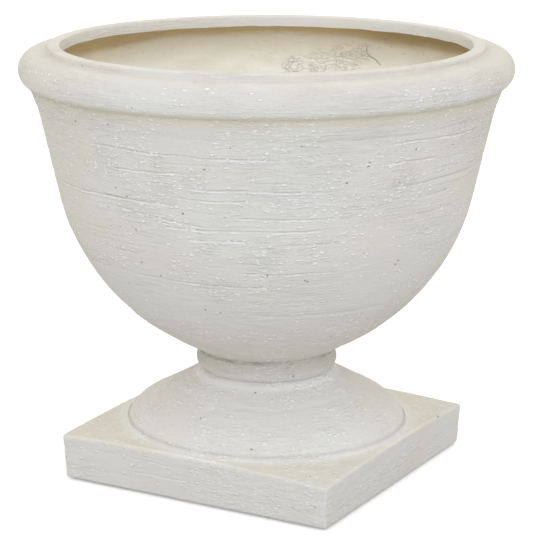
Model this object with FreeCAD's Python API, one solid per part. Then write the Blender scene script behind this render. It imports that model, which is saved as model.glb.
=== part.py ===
import FreeCAD, Part
import math
import os

# A two-piece cast urn planter: a deep bowl with a rolled rim stands on a hollow pedestal
# (neck ring, bell foot and square plinth).  Millimetres, +Z up, origin on the floor under
# the centre, the plinth's sides along X and Y.

# Foot pads and plinth
pad_height = 2.0
pad_radius = 10.0
pad_inset = 23.0             # from the plinth's side faces to a pad's centre
plinth_ledge = 8.1           # from the bell's foot to the plinth's side faces
plinth_draft = 2.2           # each side leans in by this much down to the bottom
plinth_height = 49.2         # plinth bottom to its crowned top, where the bell stands
plinth_droop = 3.6           # the crowned top falls by this much to the corners
plinth_corner_radius = 6.0   # upright edges
plinth_top_rounding = 3.0
plinth_bottom_rounding = 4.0
plinth_wall = 16.0
plinth_skin = 14.0           # under the plinth's top
pocket_corner_radius = 70.0  # thick corners carry the pads

# Bell foot and neck ring
bell_foot_radius = 148.8
bell_shoulder_radius = 141.1
bell_shoulder_height = 15.4  # above the bell's foot
bell_rounding = 50.0
bell_height = 56.3           # bell's foot to the crease under the ring
bell_wall = 14.0
ring_bulge_radius = 74.4
ring_crease_radius = 66.3
ring_height = 20.5
ring_bulge_height = 12.0     # above the crease
ring_top_radius = 70.6
neck_bore_radius = 56.0
neck_plate = 16.0            # the neck's closed top, which the tie bolts go through
neck_opening_radius = 28.0   # takes the bowl's spigot

# Mortar bed between the castings
bed_thickness = 3.0
bed_recess = 1.8             # the mortar stops short of the bowl's edge

# Bowl
bowl_height = 322.0          # underside to the lip
bowl_base_radius = 70.0
bowl_wall = 12.0
bowl_floor = 16.0
belly_corner_radius = 193.4  # where the cone and the upper wall would meet
belly_corner_height = 68.8
belly_rounding = 230.0
cove_radius = 235.0          # where the upper wall begins to flare
cove_drop = 63.6             # below the lip
cove_rounding = 84.0
rim_radius = 254.0
roll_radius = 18.0           # section of the rolled rim
roll_end_angle = -66.0       # the roll stops here, in degrees below its widest line
lip_outer_radius = 224.0
lip_inner_radius = 211.2
lip_rise = 6.0               # lip above the top of the roll
lip_rounding = 1.8
band_height = 11.0           # upright inner face of the lip
floor_rounding = 14.0
spigot_radius = 27.5
spigot_drop = 8.0            # how far the spigot hangs below the neck's plate
drain_radius = 13.0

# Drain plug
plug_fit = 0.3               # between the plug's thickest part and the drain
plug_taper = 1.2
plug_length = 18.0
plug_flange_radius = 19.0
plug_flange_thickness = 3.5
plug_grip_radius = 6.5
plug_grip_waist_radius = 4.5
plug_grip_height = 10.0

# Tie bolts
bolt_count = 3
bolt_circle_radius = 42.0
bolt_diameter = 8.0
bolt_head_flats = 13.0
bolt_head_height = 5.3
bolt_projection = 5.0        # beyond the nut
bolt_hole_clearance = 0.5
nut_height = 6.5
nut_clearance = 0.05
washer_radius = 12.0
washer_thickness = 2.0
washer_clearance = 0.2
seal_radius = 11.0
seal_thickness = 2.0

# Sizes that follow from those above, and levels from the floor up
plinth_side = 2 * (bell_foot_radius + plinth_ledge)
plinth_bottom = pad_height
bell_foot_level = plinth_bottom + plinth_height
crease_level = bell_foot_level + bell_height
neck_top = crease_level + ring_height
neck_plate_bottom = neck_top - neck_plate
bowl_base = neck_top + bed_thickness
floor_level = bowl_base + bowl_floor
lip_level = bowl_base + bowl_height
roll_top = lip_level - lip_rise
roll_centre_radius = rim_radius - roll_radius
roll_centre_level = roll_top - roll_radius
spigot_bottom = neck_plate_bottom - spigot_drop

overrun = 1.0                # how far a cutting tool passes a face
floor_centre = FreeCAD.Vector(0, 0, 0)
upward = FreeCAD.Vector(0, 0, 1)


def section_point(radius, height):
    """A point in the half plane that the turned forms are drawn in."""
    return FreeCAD.Vector(radius, 0, height)


def straight(start, end):
    return Part.LineSegment(start, end).toShape()


def arc_through(start, middle, end):
    return Part.Arc(start, middle, end).toShape()


def rounded_run(corners):
    """Edges along (radius, height, rounding) corners, each inner corner rounded off."""
    points = [section_point(radius, height) for radius, height, rounding in corners]
    edges = []
    start = points[0]
    for index in range(1, len(points) - 1):
        corner = points[index]
        rounding = corners[index][2]
        if rounding == 0:
            edges.append(straight(start, corner))
            start = corner
            continue
        back = (points[index - 1] - corner).normalize()
        ahead = (points[index + 1] - corner).normalize()
        half_angle = back.getAngle(ahead) / 2
        reach = rounding / math.tan(half_angle)
        inward = (back + ahead).normalize() * (rounding / math.sin(half_angle) - rounding)
        arc_start = corner + back * reach
        arc_end = corner + ahead * reach
        edges.append(straight(start, arc_start))
        edges.append(arc_through(arc_start, corner + inward, arc_end))
        start = arc_end
    edges.append(straight(start, points[-1]))
    return edges


def turned(edges):
    """The solid that a closed section makes when it is turned about Z."""
    face = Part.Face(Part.Wire(Part.__sortEdges__(edges)))
    return face.revolve(floor_centre, upward, 360)


def line_offset(start, end, distance):
    """The line from start to end, moved to its left by distance."""
    run_r = end[0] - start[0]
    run_z = end[1] - start[1]
    length = math.hypot(run_r, run_z)
    shift_r = -run_z / length * distance
    shift_z = run_r / length * distance
    return ((start[0] + shift_r, start[1] + shift_z), (end[0] + shift_r, end[1] + shift_z))


def crossing(first, second):
    """Where two lines, each given by two points, cross in the section plane."""
    (r1, z1), (r2, z2) = first
    (r3, z3), (r4, z4) = second
    cross = (r2 - r1) * (z4 - z3) - (z2 - z1) * (r4 - r3)
    share = ((r3 - r1) * (z4 - z3) - (z3 - z1) * (r4 - r3)) / cross
    return (r1 + share * (r2 - r1), z1 + share * (z2 - z1))


def level(height):
    """A horizontal line in the section plane."""
    return ((0, height), (1, height))


def upright(radius):
    """A vertical line in the section plane."""
    return ((radius, 0), (radius, 1))


def cylinder(radius, bottom, top, x=0.0, y=0.0):
    return Part.makeCylinder(radius, top - bottom, FreeCAD.Vector(x, y, bottom))


def bolt_places():
    for index in range(bolt_count):
        angle = math.radians(90 + 360 * index / bolt_count)
        yield bolt_circle_radius * math.cos(angle), bolt_circle_radius * math.sin(angle)


def bolt_holes(bottom, top):
    radius = bolt_diameter / 2 + bolt_hole_clearance
    return [cylinder(radius, bottom - overrun, top + overrun, x, y) for x, y in bolt_places()]


def roll_point(radius, angle):
    """A point on a circle about the middle of the rolled rim's section."""
    return (roll_centre_radius + radius * math.cos(math.radians(angle)),
            roll_centre_level + radius * math.sin(math.radians(angle)))


def make_bowl():
    """Cast shell: rolled rim with a raised lip, belly, flat base, spigot and drain."""
    wall_top = roll_point(roll_radius, roll_end_angle)
    cove = (cove_radius, lip_level - cove_drop)
    belly = (belly_corner_radius, bowl_base + belly_corner_height)
    base = (bowl_base_radius, bowl_base)

    lip = rounded_run([
        (lip_inner_radius, lip_level - band_height / 2, 0),
        (lip_inner_radius, lip_level, lip_rounding),
        (lip_outer_radius, lip_level, lip_rounding),
        (lip_outer_radius, roll_top, 0),
        (roll_centre_radius, roll_top, 0)])
    roll = arc_through(section_point(*roll_point(roll_radius, 90)),
                       section_point(*roll_point(roll_radius, 0)),
                       section_point(*wall_top))
    outside = rounded_run([
        (*wall_top, 0),
        (*cove, cove_rounding),
        (*belly, belly_rounding),
        (*base, 0),
        (spigot_radius, bowl_base, 0),
        (spigot_radius, spigot_bottom, 0),
        (drain_radius, spigot_bottom, 0),
        (drain_radius, floor_level, 0)])

    flare_line = line_offset(wall_top, cove, -bowl_wall)
    upper_line = line_offset(cove, belly, -bowl_wall)
    cone_line = line_offset(belly, base, -bowl_wall)
    inner_cove = crossing(flare_line, upper_line)
    inner_belly = crossing(upper_line, cone_line)
    inner_floor = crossing(cone_line, level(floor_level))
    band_bottom = (lip_inner_radius, lip_level - band_height)
    roll_ceiling = roll_point(roll_radius - bowl_wall, 90)
    inner_roll = crossing((band_bottom, roll_ceiling), flare_line)
    inside = rounded_run([
        (drain_radius, floor_level, 0),
        (*inner_floor, floor_rounding),
        (*inner_belly, belly_rounding - bowl_wall),
        (*inner_cove, cove_rounding + bowl_wall),
        (*inner_roll, roll_radius - bowl_wall),
        (*band_bottom, lip_rounding),
        (lip_inner_radius, lip_level - band_height / 2, 0)])
    return turned(lip + [roll] + outside + inside).cut(bolt_holes(bowl_base, floor_level))


def rounded_square(half_side, corner_radius, height):
    """A closed square outline with rounded corners, at one height."""
    edges = []
    flat = half_side - corner_radius
    diagonal = flat + corner_radius * math.sqrt(0.5)
    for quarter in range(4):
        turn = FreeCAD.Rotation(upward, 90 * quarter)

        def place(x, y):
            return turn.multVec(FreeCAD.Vector(x, y, height))

        edges.append(straight(place(half_side, -flat), place(half_side, flat)))
        edges.append(arc_through(place(half_side, flat), place(diagonal, diagonal),
                                 place(flat, half_side)))
    return Part.Wire(edges)


def edges_between(shape, low, high):
    """The edges that lie wholly between two heights."""
    return [edge for edge in shape.Edges
            if edge.BoundBox.ZMin > low and edge.BoundBox.ZMax < high]


def make_plinth_block():
    """Solid plinth with leaning sides, a softly crowned top and rounded edges."""
    half_top = plinth_side / 2
    block = Part.makeLoft([
        rounded_square(half_top - plinth_draft, plinth_corner_radius, plinth_bottom),
        rounded_square(half_top, plinth_corner_radius, bell_foot_level)], True, True)
    block = block.makeFillet(plinth_bottom_rounding,
                             edges_between(block, plinth_bottom - overrun,
                                           plinth_bottom + overrun))

    corner_reach = math.hypot(half_top, half_top)
    crown_middle = corner_reach / 2
    rise = plinth_droop / (corner_reach ** 2 - bell_foot_radius ** 2)

    def crown(radius):
        """Height of the crowned top, which falls with the square of the radius."""
        return bell_foot_level - rise * (radius ** 2 - bell_foot_radius ** 2)

    cap = turned([
        arc_through(section_point(0, crown(0)), section_point(crown_middle, crown(crown_middle)),
                    section_point(corner_reach, crown(corner_reach))),
        straight(section_point(corner_reach, crown(corner_reach)),
                 section_point(corner_reach, plinth_bottom - overrun)),
        straight(section_point(corner_reach, plinth_bottom - overrun),
                 section_point(0, plinth_bottom - overrun)),
        straight(section_point(0, plinth_bottom - overrun), section_point(0, crown(0)))])
    block = block.common(cap)
    top_edges = edges_between(block, bell_foot_level - plinth_height / 2,
                              bell_foot_level + plinth_droop)
    return block.makeFillet(plinth_top_rounding, top_edges)


def make_pedestal():
    """Cast shell: neck ring, bell foot and plinth, open underneath."""
    crease = (ring_crease_radius, crease_level)
    shoulder = (bell_shoulder_radius, bell_foot_level + bell_shoulder_height)
    foot = (bell_foot_radius, bell_foot_level)
    ring = arc_through(section_point(ring_top_radius, neck_top),
                       section_point(ring_bulge_radius, crease_level + ring_bulge_height),
                       section_point(*crease))
    bell = rounded_run([
        (*crease, 0),
        (*shoulder, bell_rounding),
        (*foot, 0),
        (bell_foot_radius, plinth_bottom + plinth_bottom_rounding, 0),
        (0, plinth_bottom + plinth_bottom_rounding, 0),
        (0, neck_top, 0),
        (ring_top_radius, neck_top, 0)])
    shell = turned([ring] + bell).fuse(make_plinth_block())

    slope_line = line_offset(crease, shoulder, -bell_wall)
    foot_line = line_offset(shoulder, foot, -bell_wall)
    pocket_ceiling = bell_foot_level - plinth_skin
    inner_crease = crossing(upright(neck_bore_radius), slope_line)
    inner_shoulder = crossing(slope_line, foot_line)
    inner_foot = crossing(foot_line, level(pocket_ceiling))
    hollow = turned(rounded_run([
        (0, pocket_ceiling - overrun, 0),
        (inner_foot[0], pocket_ceiling - overrun, 0),
        (*inner_foot, 0),
        (*inner_shoulder, bell_rounding - bell_wall),
        (*inner_crease, 0),
        (neck_bore_radius, neck_plate_bottom, 0),
        (0, neck_plate_bottom, 0),
        (0, pocket_ceiling - overrun, 0)]))
    pocket_outline = rounded_square(plinth_side / 2 - plinth_wall, pocket_corner_radius,
                                    plinth_bottom - overrun)
    pocket_depth = pocket_ceiling - plinth_bottom + overrun
    pocket = Part.Face(pocket_outline).extrude(FreeCAD.Vector(0, 0, pocket_depth))
    opening = cylinder(neck_opening_radius, neck_plate_bottom - overrun, neck_top + overrun)
    cutters = [hollow, pocket, opening] + bolt_holes(neck_plate_bottom, neck_top)
    return shell.cut(cutters).removeSplitter()


def make_neck_mortar():
    """Mortar bed squeezed between the bowl's base and the neck's top."""
    bed = cylinder(bowl_base_radius - bed_recess, neck_top, bowl_base)
    spigot_way = cylinder(neck_opening_radius, neck_top - overrun, bowl_base + overrun)
    return bed.cut([spigot_way] + bolt_holes(neck_top, bowl_base))


def washer(outer_radius, bottom, thickness, x, y):
    disc = cylinder(outer_radius, bottom, bottom + thickness, x, y)
    bore_radius = bolt_diameter / 2 + washer_clearance
    return disc.cut(cylinder(bore_radius, bottom - overrun, bottom + thickness + overrun, x, y))


def hexagon(across_flats, bottom, height, x, y):
    corner = across_flats / math.sqrt(3)
    angles = [math.radians(60 * index) for index in range(7)]
    points = [FreeCAD.Vector(x + corner * math.cos(angle), y + corner * math.sin(angle), bottom)
              for angle in angles]
    return Part.Face(Part.makePolygon(points)).extrude(FreeCAD.Vector(0, 0, height))


def make_fasteners():
    """Tie bolts with their washers, seals and nuts, each kind as one group."""
    seal_bottom = floor_level
    upper_washer_bottom = seal_bottom + seal_thickness
    head_bottom = upper_washer_bottom + washer_thickness
    lower_washer_bottom = neck_plate_bottom - washer_thickness
    nut_bottom = lower_washer_bottom - nut_height
    groups = {"sealing_washers": [], "upper_washers": [], "tie_bolts": [],
              "lower_washers": [], "tie_nuts": []}
    for x, y in bolt_places():
        groups["sealing_washers"].append(washer(seal_radius, seal_bottom, seal_thickness, x, y))
        groups["upper_washers"].append(
            washer(washer_radius, upper_washer_bottom, washer_thickness, x, y))
        groups["lower_washers"].append(
            washer(washer_radius, lower_washer_bottom, washer_thickness, x, y))
        head = hexagon(bolt_head_flats, head_bottom, bolt_head_height, x, y)
        shank = cylinder(bolt_diameter / 2, nut_bottom - bolt_projection, head_bottom, x, y)
        groups["tie_bolts"].append(head.fuse(shank).removeSplitter())
        nut = hexagon(bolt_head_flats, nut_bottom, nut_height, x, y)
        nut_bore = cylinder(bolt_diameter / 2 + nut_clearance, nut_bottom - overrun,
                            lower_washer_bottom + overrun, x, y)
        groups["tie_nuts"].append(nut.cut(nut_bore))
    return {name: Part.makeCompound(solids) for name, solids in groups.items()}


def make_drain_plug():
    """Rubber stopper: tapered plug, flange that lies on the bowl's floor, and a grip."""
    plug_top_radius = drain_radius - plug_fit
    flange_top = floor_level + plug_flange_thickness
    grip_middle = flange_top + plug_grip_height / 2
    grip_top = flange_top + plug_grip_height
    return turned(rounded_run([
        (0, floor_level - plug_length, 0),
        (plug_top_radius - plug_taper, floor_level - plug_length, 1),
        (plug_top_radius, floor_level, 0),
        (plug_flange_radius, floor_level, 0),
        (plug_flange_radius, flange_top, 1),
        (plug_grip_waist_radius, flange_top, 1),
        (plug_grip_waist_radius, grip_middle, 0),
        (plug_grip_radius, grip_middle, 0),
        (plug_grip_radius, grip_top, 1),
        (0, grip_top, 0),
        (0, floor_level - plug_length, 0)]))


def make_foot_pads():
    """Four rubber pads under the plinth's thick corners."""
    reach = plinth_side / 2 - pad_inset
    pads = {}
    for side, x in (("left", -reach), ("right", reach)):
        for end, y in (("front", -reach), ("back", reach)):
            pads[f"foot_pad_{end}_{side}"] = cylinder(pad_radius, 0, pad_height, x, y)
    return pads


os.makedirs("parts", exist_ok=True)
nodes = {
    "bowl": make_bowl(),
    "pedestal": make_pedestal(),
    "neck_mortar": make_neck_mortar(),
    "drain_plug": make_drain_plug(),
    **make_fasteners(),
    **make_foot_pads(),
}
for name, shape in nodes.items():
    shape.exportStep(f"parts/{name}.step")
    print(name, shape.isValid(), len(shape.Solids), round(shape.Volume), shape.BoundBox)
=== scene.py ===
import bpy
import math
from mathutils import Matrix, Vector


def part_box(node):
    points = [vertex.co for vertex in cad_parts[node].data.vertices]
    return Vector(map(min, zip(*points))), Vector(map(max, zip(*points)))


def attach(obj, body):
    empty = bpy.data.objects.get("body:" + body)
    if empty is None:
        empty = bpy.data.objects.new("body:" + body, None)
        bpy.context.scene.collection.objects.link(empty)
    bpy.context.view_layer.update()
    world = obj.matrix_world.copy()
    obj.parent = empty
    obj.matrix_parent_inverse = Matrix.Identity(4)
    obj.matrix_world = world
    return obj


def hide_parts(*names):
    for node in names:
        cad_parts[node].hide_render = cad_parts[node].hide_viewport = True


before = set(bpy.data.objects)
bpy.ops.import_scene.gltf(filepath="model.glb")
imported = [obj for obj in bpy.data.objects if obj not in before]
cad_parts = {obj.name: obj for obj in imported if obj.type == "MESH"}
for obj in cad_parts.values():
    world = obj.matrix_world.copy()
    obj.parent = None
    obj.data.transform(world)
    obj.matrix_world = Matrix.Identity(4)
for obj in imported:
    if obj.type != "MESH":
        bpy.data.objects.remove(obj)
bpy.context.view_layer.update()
seat = {name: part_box(name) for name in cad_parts}   # lowest and highest corner of each node
print("frame loaded:", len(seat), "nodes")

onePoint = 0.00002   # points closer than this are one


def objectMode():
    bpy.ops.object.mode_set(mode='OBJECT')


def editMode():
    bpy.ops.object.mode_set(mode='EDIT')


def deselectAll():
    if bpy.context.object and bpy.context.object.mode != 'OBJECT':
        objectMode()
    bpy.ops.object.select_all(action='DESELECT')


def pickOnly(piece):
    deselectAll()
    piece.select_set(True)
    bpy.context.view_layer.objects.active = piece


def joinPieces(pieces):
    pickOnly(pieces[0])
    for piece in pieces:
        piece.select_set(True)
    bpy.ops.object.join()
    return bpy.context.object


def applyPlace():   # place, turn and scale go into the mesh
    bpy.ops.object.transform_apply()


def applyModifier(piece, kind, **settings):
    modifier = piece.modifiers.new(kind.lower(), kind)
    for name, value in settings.items():
        setattr(modifier, name, value)
    bpy.ops.object.modifier_apply(modifier=modifier.name)


def cutAway(piece, cutter, operation='DIFFERENCE'):
    pickOnly(piece)
    applyModifier(piece, 'BOOLEAN', object=cutter, operation=operation, solver='EXACT')
    bpy.data.objects.remove(cutter)


def selectMesh():
    bpy.ops.mesh.select_all(action='SELECT')


def mergePoints():
    selectMesh()
    bpy.ops.mesh.remove_doubles(threshold=onePoint)


def faceOutwards():
    selectMesh()
    bpy.ops.mesh.normals_make_consistent(inside=False)


def clearSelection(mesh):
    for part in (*mesh.vertices, *mesh.edges, *mesh.polygons):
        part.select = False


def selectEdges(piece, wanted):   # wanted is a test on an edge's two ends
    objectMode()
    clearSelection(piece.data)
    for edge in piece.data.edges:
        edge.select = wanted(*[piece.data.vertices[index].co for index in edge.vertices])
    bpy.context.tool_settings.mesh_select_mode = (False, True, False)
    editMode()


def selectVertices(piece, wanted):   # wanted is a test on a vertex's place
    objectMode()
    clearSelection(piece.data)
    for vertex in piece.data.vertices:
        vertex.select = wanted(vertex.co)
    bpy.context.tool_settings.mesh_select_mode = (True, False, False)
    editMode()


def shadeSmooth(piece, sharpAngle):
    pickOnly(piece)
    bpy.ops.object.shade_smooth_by_angle(angle=math.radians(sharpAngle))


def finishPiece(piece, name, material, body, node):
    pickOnly(piece)
    applyPlace()
    piece.name = name
    piece.data.name = name
    piece.data.materials.clear()
    piece.data.materials.append(material)
    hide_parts(node)
    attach(piece, body)
    print(name, "made:", len(piece.data.polygons), "faces")


# Turned outlines: one vertex is drawn along the section, then turned about Z.

def startOutline(radius, height):
    deselectAll()
    bpy.ops.mesh.primitive_plane_add(size=0.002, location=(radius, 0, height))
    applyPlace()
    bpy.context.tool_settings.mesh_select_mode = (True, False, False)
    editMode()
    bpy.ops.mesh.merge(type='CENTER')
    return [bpy.context.object, Vector((radius, height))]


def drawTo(pen, radius, height):
    run = Vector((radius, height)) - pen[1]
    if run.length > onePoint:
        bpy.ops.mesh.extrude_region_move(TRANSFORM_OT_translate={"value": (run.x, 0, run.y)})
    pen[1] = Vector((radius, height))


def drawArc(pen, centre, turn, spacing):   # turn in radians, from the section's +X towards +Z
    arm = pen[1] - centre
    steps = max(3, round(abs(turn) * arm.length / spacing))
    bpy.ops.mesh.spin(steps=steps, angle=turn, center=(centre.x, 0, centre.y), axis=(0, 1, 0))
    cosine = math.cos(turn)
    sine = math.sin(turn)
    pen[1] = centre + Vector((arm.x * cosine - arm.y * sine, arm.x * sine + arm.y * cosine))


def drawArcThrough(pen, middle, end, spacing):
    start = pen[1]
    first = middle - start
    second = end - start
    cross = 2 * (first.x * second.y - first.y * second.x)
    centre = start + Vector((
        (second.y * first.length_squared - first.y * second.length_squared) / cross,
        (first.x * second.length_squared - second.x * first.length_squared) / cross))
    turn = (start - centre).angle(end - centre)
    drawArc(pen, centre, turn if cross > 0 else -turn, spacing)


def drawRounded(pen, corners, spacing):   # corners: radius, height, rounding of that corner
    for index, (radius, height, rounding) in enumerate(corners):
        if rounding == 0:
            drawTo(pen, radius, height)
            continue
        corner = Vector((radius, height))
        back = (pen[1] - corner).normalized()
        front = (Vector(corners[index + 1][:2]) - corner).normalized()
        halfAngle = back.angle(front) / 2
        arcStart = corner + back * rounding / math.tan(halfAngle)
        centre = corner + (back + front).normalized() * rounding / math.sin(halfAngle)
        turnsLeft = back.x * front.y - back.y * front.x < 0
        drawTo(pen, arcStart.x, arcStart.y)
        drawArc(pen, centre, (math.pi - 2 * halfAngle) * (1 if turnsLeft else -1), spacing)


def divideOutline(pen, spacing):   # the straight runs drawn so far are cut to the spacing
    piece, tip = pen

    def cutsOf(start, end):
        return round((start - end).length / spacing) - 1

    while True:
        objectMode()
        corners = piece.data.vertices
        most = max(cutsOf(*[corners[index].co for index in edge.vertices]) for edge in piece.data.edges)
        if most < 1:
            break
        selectEdges(piece, lambda start, end: cutsOf(start, end) == most)
        bpy.ops.mesh.subdivide(number_cuts=most)
    selectVertices(piece, lambda place: (place - Vector((tip.x, 0, tip.y))).length < onePoint)


def turnOutline(pen, columns, sharpAngle=50):
    piece = pen[0]
    mergePoints()
    objectMode()
    applyModifier(piece, 'SCREW', steps=columns, render_steps=columns, use_merge_vertices=True,
                  merge_threshold=onePoint)
    editMode()
    mergePoints()
    faceOutwards()
    bpy.ops.mesh.select_all(action='DESELECT')
    objectMode()
    shadeSmooth(piece, sharpAngle)
    return piece


# Node helpers, for the materials and for the relief in the meshes.

def feed(socket, value):
    if isinstance(value, bpy.types.NodeSocket):
        socket.id_data.links.new(value, socket)
    elif value is not None:
        socket.default_value = value


def addNode(kind, inputs, tree=None, **settings):   # in the tree of what feeds it, if none is given
    tree = tree or next(value.id_data for value in inputs.values()
                        if isinstance(value, bpy.types.NodeSocket))
    node = tree.nodes.new(kind)
    for name, value in settings.items():
        setattr(node, name, value)
    for label, value in inputs.items():
        feed(node.inputs[label], value)
    return node


def calc(operation, *values):
    return addNode("ShaderNodeMath", dict(enumerate(values)), operation=operation).outputs[0]


def times(*values):
    product = values[0]
    for value in values[1:]:
        product = calc('MULTIPLY', product, value)
    return product


def plus(first, second):
    return calc('ADD', first, second)


def minus(first, second):
    return calc('SUBTRACT', first, second)


def timesPlus(first, second, added):
    return calc('MULTIPLY_ADD', first, second, added)


def larger(first, second):
    return calc('MAXIMUM', first, second)


def farFrom(value, middle):   # how far a value is from the middle, up or down
    return calc('ABSOLUTE', minus(value, middle))


def vectorCalc(operation, *values):   # a number for a distance, a length or a dot product
    node = addNode("ShaderNodeVectorMath", dict(enumerate(values)), operation=operation)
    return node.outputs[1 if operation in ('DISTANCE', 'LENGTH', 'DOT_PRODUCT') else 0]


def scaled(vector, factor):
    return addNode("ShaderNodeVectorMath", {0: vector, "Scale": factor}, operation='SCALE').outputs[0]


def stretched(place, stretch):
    return vectorCalc('MULTIPLY', place, stretch)


def noiseAt(place, stretch, detail=2.0, roughness=0.5):
    return addNode("ShaderNodeTexNoise", {"Vector": stretched(place, stretch), "Scale": 1.0,
                                          "Detail": detail, "Roughness": roughness}).outputs[0]


def swingAt(place, stretch, detail=2.0, roughness=0.5):   # noise about 0
    return minus(noiseAt(place, stretch, detail, roughness), 0.5)


def ramp(value, low, high, start=0.0, end=1.0):   # a soft step from start to end
    return addNode("ShaderNodeMapRange", {0: value, 1: low, 2: high, 3: start, 4: end},
                   interpolation_type='SMOOTHSTEP').outputs[0]


def splitPlace(place):
    return addNode("ShaderNodeSeparateXYZ", {0: place}).outputs


def heightOf(place):
    return splitPlace(place)[2]


def axisDistance(place):
    return vectorCalc('LENGTH', stretched(place, (1, 1, 0)))


def turnAngle(place):   # degrees round the axis
    parts = splitPlace(place)
    return calc('DEGREES', calc('ARCTAN2', parts[1], parts[0]))


def blendColour(factor, first, second, mode='MIX'):
    inputs = {"Fac": factor, "Color1": first, "Color2": second}
    return addNode("ShaderNodeMixRGB", inputs, blend_type=mode).outputs[0]


def toned(colour, tone):   # the colour made darker or lighter
    grey = addNode("ShaderNodeCombineColor", {0: tone, 1: tone, 2: tone}).outputs[0]
    return blendColour(1.0, colour, grey, 'MULTIPLY')


def atWall(angle, radius, height):
    return (radius * math.cos(math.radians(angle)), radius * math.sin(math.radians(angle)), height)


def spotsAt(place, spots):   # 1 in the middle of each spot, 0 from its reach on
    total = 0.0
    for angle, radius, height, reach in spots:
        away = vectorCalc('DISTANCE', place, atWall(angle, radius, height))
        total = larger(total, ramp(away, reach, reach * 0.35))
    return total


def scoredLines(place, lines):   # a thin groove with a scraped-up burr just below it
    turn = turnAngle(place)
    level = timesPlus(swingAt(place, (26, 26, 6), 4), 0.006, heightOf(place))
    broken = ramp(noiseAt(place, (55, 55, 40), 3, 0.6), 0.36, 0.56)
    cut = 0.0
    burr = 0.0
    for height, middle, reach, climb in lines:
        along = minus(turn, middle)
        away = minus(level, timesPlus(along, climb, height))
        shown = ramp(calc('ABSOLUTE', along), reach, reach * 0.7)
        groove = times(ramp(away, 0.0008, 0.0), ramp(away, -0.0016, 0.0))
        ridge = times(ramp(away, -0.0004, -0.0016), ramp(away, -0.0034, -0.0018))
        cut = timesPlus(groove, shown, cut)
        burr = timesPlus(times(ridge, broken), shown, burr)
    return cut, burr


def crackAlong(place, radius, points, width):   # thin and crooked, points are angle and height
    shake = swingAt(place, (210, 210, 210), 3, 0.6)
    around = times(turnAngle(place), math.radians(radius))
    unrolled = addNode("ShaderNodeCombineXYZ", {
        0: timesPlus(shake, 0.004, around), 2: heightOf(place)}).outputs[0]
    corners = [Vector((math.radians(angle) * radius, 0, height)) for angle, height in points]
    total = 0.0
    for start, end in zip(corners, corners[1:]):
        run = end - start
        reached = vectorCalc('SUBTRACT', unrolled, start)
        share = vectorCalc('DOT_PRODUCT', reached, run / run.length_squared)
        share = calc('MINIMUM', larger(share, 0.0), 1.0)
        away = vectorCalc('DISTANCE', reached, scaled(run, share))
        total = larger(total, ramp(away, width, width * 0.3))
    return total


def levelLines(place, spacing, width, cover, waver):   # long level lines that fade in and out
    bent = timesPlus(swingAt(place, (8, 8, 3), 3), waver, heightOf(place))
    away = addNode("ShaderNodeTexVoronoi",
                   {"W": calc('DIVIDE', bent, spacing), "Scale": 1.0, "Randomness": 0.95},
                   voronoi_dimensions='1D', feature='DISTANCE_TO_EDGE').outputs["Distance"]
    line = ramp(times(away, spacing), width, 0.0)
    return times(line, ramp(plus(noiseAt(place, (10, 10, 55), 1), cover), 1.0, 1.06))


def grains(place, stretch, size, share, patch=None):   # scattered raised or sunk spots
    jitter = addNode("ShaderNodeTexNoise", {"Vector": stretched(place, (260, 260, 420)),
                                            "Scale": 1.0, "Detail": 1.0}).outputs["Color"]
    bent = vectorCalc('MULTIPLY_ADD', jitter, (0.0022, 0.0022, 0.0014), place)
    cells = addNode("ShaderNodeTexVoronoi", {
        "Vector": stretched(bent, stretch), "Scale": 1.0, "Randomness": 1.0}).outputs
    family = "ShaderNode" if place.id_data.type == 'SHADER' else "FunctionNode"
    chance = addNode(family + "SeparateColor", {0: cells["Color"]}).outputs
    spot = ramp(cells["Distance"], size, size * 0.45)
    limit = share if patch is None else times(share, patch)
    kept = calc('LESS_THAN', chance[0], limit)
    return times(spot, times(kept, timesPlus(chance[1], 0.7, 0.3)))


def moveMesh(piece, buildOffset):   # buildOffset gives a vector in metres for each point
    tree = bpy.data.node_groups.new(piece.name + "Relief", 'GeometryNodeTree')
    for direction in ('INPUT', 'OUTPUT'):
        tree.interface.new_socket("Geometry", in_out=direction, socket_type='NodeSocketGeometry')
    place = tree.nodes.new("GeometryNodeInputPosition").outputs[0]
    normal = tree.nodes.new("GeometryNodeInputNormal").outputs[0]
    moved = addNode("GeometryNodeSetPosition", {
        "Geometry": tree.nodes.new("NodeGroupInput").outputs[0],
        "Offset": buildOffset(place, normal)}).outputs[0]
    feed(tree.nodes.new("NodeGroupOutput").inputs[0], moved)
    pickOnly(piece)
    applyModifier(piece, 'NODES', node_group=tree)


def raisedBy(offset, height):   # offset with some height added
    up = addNode("ShaderNodeCombineXYZ", {2: height}).outputs[0]
    return vectorCalc('ADD', offset, up)


def castRelief(place, wobble, lumps, sink):   # uneven hand-made surface, in metres
    slow = swingAt(place, (9, 9, 9))
    level = swingAt(place, (13, 13, 80))
    uneven = times(timesPlus(level, 0.6, slow), 2 * wobble)
    patch = ramp(noiseAt(place, (14, 14, 22)), 0.4, 0.62, 0.1, 1.0)
    raised = times(grains(place, (75, 75, 150), 0.5, 0.6, patch), lumps)
    cut = times(levelLines(place, 0.019, 0.003, 0.5, 0.012), lumps * 0.8)
    return minus(plus(uneven, minus(raised, cut)), sink)


# Effects that several materials share.

def newGroup(name, inputs, outputs):
    tree = bpy.data.node_groups.new(name, 'ShaderNodeTree')
    for label, value in inputs.items():
        kind = 'NodeSocketVector' if value is None else 'NodeSocketFloat'
        socket = tree.interface.new_socket(label, in_out='INPUT', socket_type=kind)
        if value is not None:
            socket.default_value = value
    for label in outputs:
        tree.interface.new_socket(label, in_out='OUTPUT', socket_type='NodeSocketFloat')
    return tree, tree.nodes.new("NodeGroupInput").outputs, tree.nodes.new("NodeGroupOutput").inputs


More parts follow.
